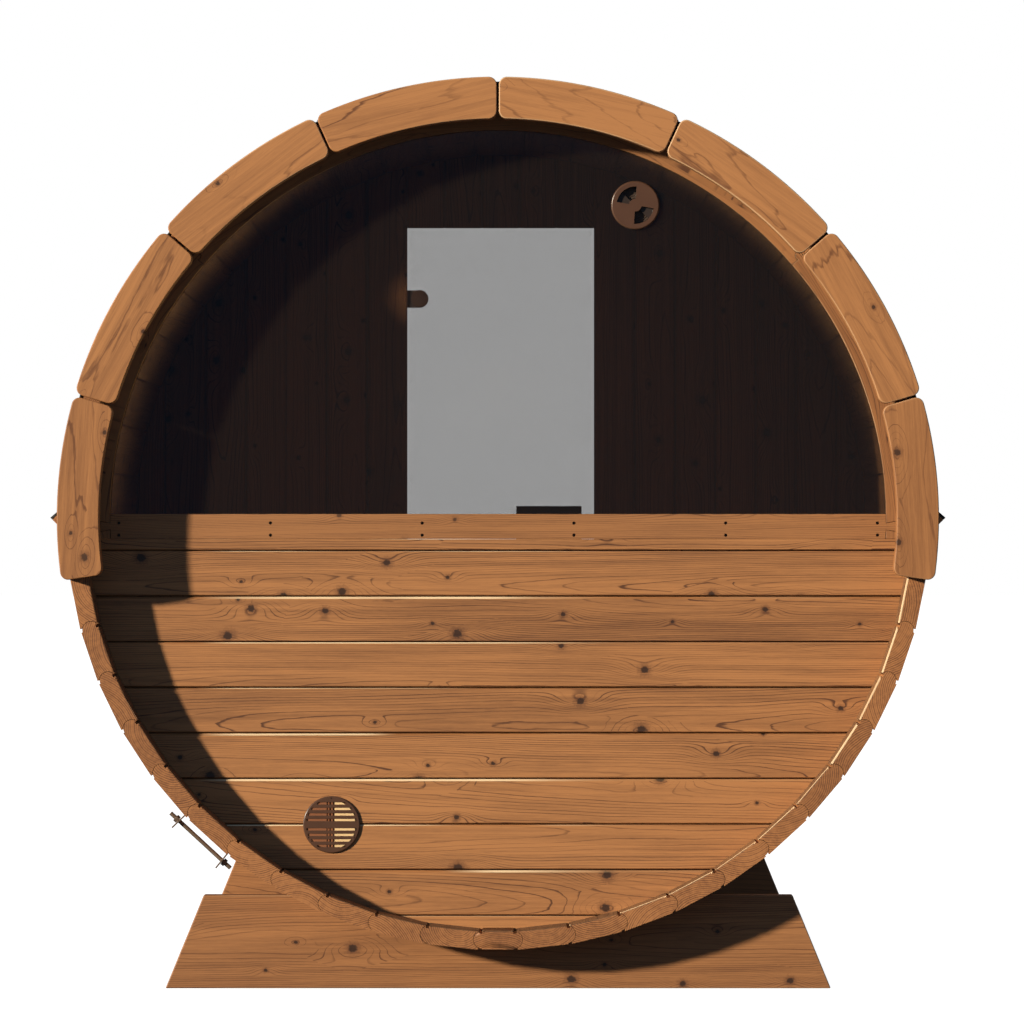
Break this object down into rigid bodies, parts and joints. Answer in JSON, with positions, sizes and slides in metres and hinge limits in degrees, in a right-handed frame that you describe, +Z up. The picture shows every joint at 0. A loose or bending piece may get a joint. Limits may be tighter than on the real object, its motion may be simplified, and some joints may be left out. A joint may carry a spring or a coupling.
{
  "type": "barrel sauna",
  "caption": "Round timber sauna cabin on two cradles, with a half-moon window at one end, a glass door at the other, vents and steel bands.",
  "frame": {"origin": "ground level under the middle of the barrel", "axes": "+Z up, the window end faces -Y, the door end faces +Y, +X to the right as seen from the window end"},
  "size_m": [2.0906, 2.0146, 2.138],
  "materials": {
    "stave_wood": "planed",
    "trim_wood": "planed",
    "wall_wood": "planed",
    "cradle_wood": "planed",
    "floor_wood": "planed",
    "dark_wood": "satin",
    "tinted_glass": "tinted",
    "door_glass": "clear",
    "vent_brown": "satin",
    "hinge_bronze": "satin",
    "band_steel": "weathered",
    "rod_steel": "threaded",
    "roof_felt": "mineral surfaced"
  },
  "bodies": {
    "barrel": {"staves_bottom": "stave_wood", "staves_top": "stave_wood", "staves_right_1": "stave_wood", "staves_right_2": "stave_wood", "staves_right_3": "stave_wood", "staves_right_4": "stave_wood", "staves_left_1": "stave_wood", "staves_left_2": "stave_wood", "staves_left_3": "stave_wood", "staves_left_4": "stave_wood", "window_trim_1": "trim_wood", "window_trim_2": "trim_wood", "window_trim_3": "trim_wood", "window_trim_4": "trim_wood", "window_trim_5": "trim_wood", "window_trim_6": "trim_wood", "window_trim_7": "trim_wood", "window_trim_8": "trim_wood", "door_trim_left": "trim_wood", "door_trim_right": "trim_wood", "window_wall": "wall_wood", "window_rail": "wall_wood", "window_frame_top": "wall_wood", "window_frame_left": "wall_wood", "window_frame_right": "wall_wood", "window_inner_frame": "wall_wood", "window_glass": "tinted_glass", "glass_vent": "vent_brown", "wall_vent": "vent_brown", "door_wall_left": "wall_wood", "door_wall_right": "wall_wood", "door_wall_head": "wall_wood", "door_wall_sill": "wall_wood", "hinge_leaves": "hinge_bronze", "window_cradle": "cradle_wood", "door_cradle": "cradle_wood", "steel_bands": "band_steel", "band_rods": "rod_steel", "side_battens": "wall_wood", "roof_felt": "roof_felt", "floor": "floor_wood"},
    "door": {"door_glass": "door_glass", "hinge_clamps": "hinge_bronze", "door_pulls": "dark_wood"},
    "vent_shutter": {"glass_vent_shutter": "vent_brown"}
  },
  "joints": [
    {"name": "door_hinge", "type": "hinge", "parent": "barrel", "child": "door", "pos_m": [-0.262, 0.874, 1.111], "axis": [0, 0, 1], "range_deg": [0, 100]},
    {"name": "vent_turn", "type": "hinge", "parent": "barrel", "child": "vent_shutter", "pos_m": [0.32317, -0.8467, 1.84719], "axis": [0, -1, 0], "range_deg": [-52, 35]}
  ]
}
